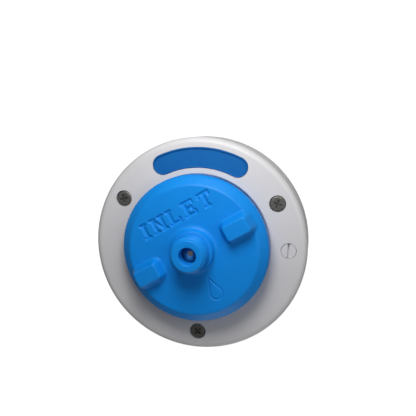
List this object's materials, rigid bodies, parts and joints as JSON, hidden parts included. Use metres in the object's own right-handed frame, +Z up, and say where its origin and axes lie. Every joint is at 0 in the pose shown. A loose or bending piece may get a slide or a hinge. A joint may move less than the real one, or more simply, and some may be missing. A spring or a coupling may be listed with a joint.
{
  "type": "sand filter tank",
  "caption": "Small upright sand filter tank with a white clamp ring, a blue screw cap with threaded inlet nozzle, a side outlet, a drain plug and a pedestal.",
  "frame": {"origin": "on the tank's axis, at the underside of the foot pad", "axes": "+Z up along the tank's axis, +Y towards the colour inlay, outlet towards -X, drain plug towards -Y"},
  "size_m": [0.1541, 0.1391, 0.181],
  "materials": {
    "white_shell": "satin moulded ABS, white",
    "tank_white": "matt moulded polypropylene, off-white",
    "blue_cap": "satin moulded polypropylene, bright blue",
    "blue_inlay": "satin moulded ABS, blue, a little darker than the cap",
    "dark_steel": "blackened zinc-plated steel",
    "bright_steel": "bright stainless steel",
    "brass": "knurled brass",
    "seal_rubber": "matt black EPDM",
    "grey_plastic": "matt moulded polypropylene, mid grey",
    "sand": "loose quartz filter sand",
    "gravel": "loose rounded gravel"
  },
  "bodies": {
    "tank": {"tank_shell": "tank_white", "top_ring": "white_shell", "colour_inlay": "blue_inlay", "ring_screws": "dark_steel", "brass_inserts": "brass", "diffuser": "tank_white", "sand_bed": "sand", "gravel_bed": "gravel", "lateral_hub": "tank_white", "lateral_1": "tank_white", "lateral_2": "tank_white", "lateral_3": "tank_white", "lateral_4": "tank_white", "lateral_5": "tank_white", "lateral_6": "tank_white", "collector_pipe": "tank_white", "outlet_fitting": "grey_plastic", "outlet_o_ring": "seal_rubber", "pedestal": "grey_plastic", "base_screws": "bright_steel", "foot_pad": "seal_rubber"},
    "cap_seal": {"cap_o_ring": "seal_rubber"},
    "cap": {"inlet_cap": "blue_cap", "valve_cage": "white_shell", "check_spring": "bright_steel"},
    "ball": {"check_ball": "bright_steel"},
    "bleed_seal": {"bleed_plug_seal": "seal_rubber"},
    "bleed": {"bleed_plug": "white_shell"},
    "drain_seal": {"drain_plug_seal": "seal_rubber"},
    "drain": {"drain_plug": "grey_plastic"}
  },
  "joints": [
    {"name": "cap_lift", "type": "slide", "parent": "tank", "child": "cap_seal", "axis": [0, 0, 1], "range_m": [0, 0.024]},
    {"name": "cap_turn", "type": "hinge", "parent": "cap_seal", "child": "cap", "pos_m": [0, 0, 0.15], "axis": [0, 0, 1], "range_deg": [0, 865]},
    {"name": "ball_travel", "type": "slide", "parent": "cap", "child": "ball", "axis": [0, 0, -1], "range_m": [0, 0.004], "stiffness_N_per_m": 60, "springref_m": -0.003, "deforming": ["check_spring"]},
    {"name": "bleed_lift", "type": "slide", "parent": "tank", "child": "bleed_seal", "axis": [0, 0, 1], "range_m": [0, 0.0032]},
    {"name": "bleed_turn", "type": "hinge", "parent": "bleed_seal", "child": "bleed", "pos_m": [0.0539, -0.00066, 0.15], "axis": [0, 0, 1], "range_deg": [0, 1442]},
    {"name": "drain_lift", "type": "slide", "parent": "tank", "child": "drain_seal", "axis": [0, -1, 0], "range_m": [0, 0.01604]},
    {"name": "drain_turn", "type": "hinge", "parent": "drain_seal", "child": "drain", "pos_m": [0, -0.063, 0.061], "axis": [0, -1, 0], "range_deg": [0, 4325]}
  ],
  "couplings": [
    {"joint": "cap_turn", "follows": "cap_lift", "rad_per_m": 628.32},
    {"joint": "bleed_turn", "follows": "bleed_lift", "rad_per_m": 7854},
    {"joint": "drain_turn", "follows": "drain_lift", "rad_per_m": 4699.5}
  ]
}
